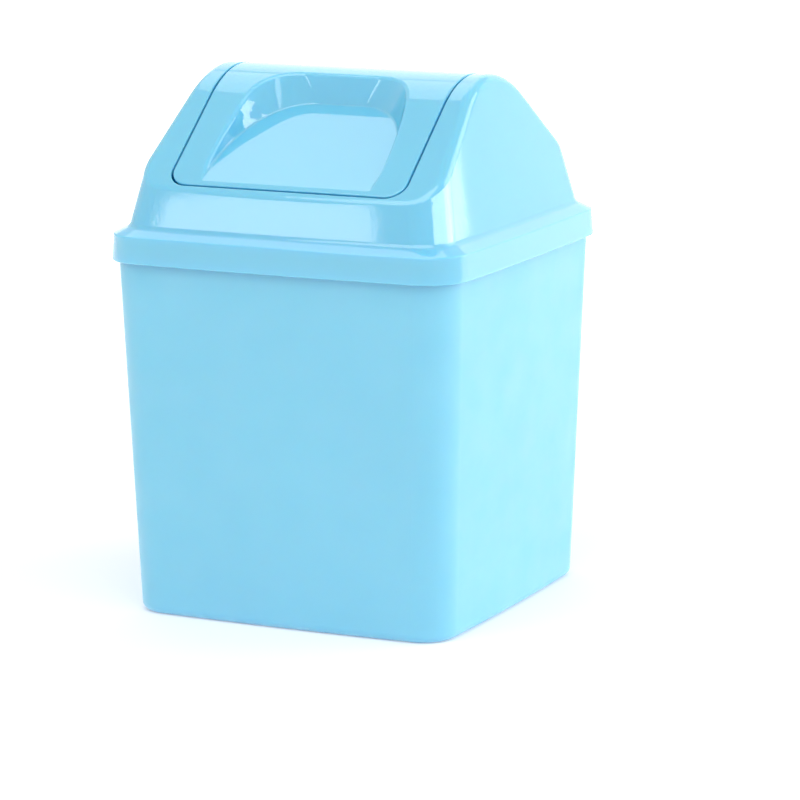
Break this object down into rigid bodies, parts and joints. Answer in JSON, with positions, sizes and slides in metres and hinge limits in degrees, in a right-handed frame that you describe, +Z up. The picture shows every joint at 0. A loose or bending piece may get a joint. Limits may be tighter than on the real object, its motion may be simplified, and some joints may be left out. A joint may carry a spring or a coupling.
{
  "type": "desktop swing-lid bin",
  "caption": "Small square bin for a desk: tapered bucket, lift-off lid with a gabled hood, and a two-way swing flap with thumb recesses.",
  "frame": {"origin": "centre of the base, in the plane of the foot ring that the bin stands on", "axes": "+Z up; -Y is the front, the side that the picture shows most of; X runs along the flap's ridge"},
  "size_m": [0.1232, 0.1232, 0.17],
  "materials": {
    "bucket_plastic": "satin",
    "lid_plastic": "gloss"
  },
  "bodies": {
    "bucket": {"bucket": "bucket_plastic"},
    "lid": {"lid_hood": "lid_plastic"},
    "flap": {"swing_flap": "lid_plastic"}
  },
  "joints": [
    {"name": "lid_lift", "type": "slide", "parent": "bucket", "child": "lid", "axis": [0, 0, 1], "range_m": [0, 0.06]},
    {"name": "flap_swing", "type": "hinge", "parent": "lid", "child": "flap", "pos_m": [0, 0, 0.162], "axis": [1, 0, 0], "range_deg": [-90, 90]}
  ]
}
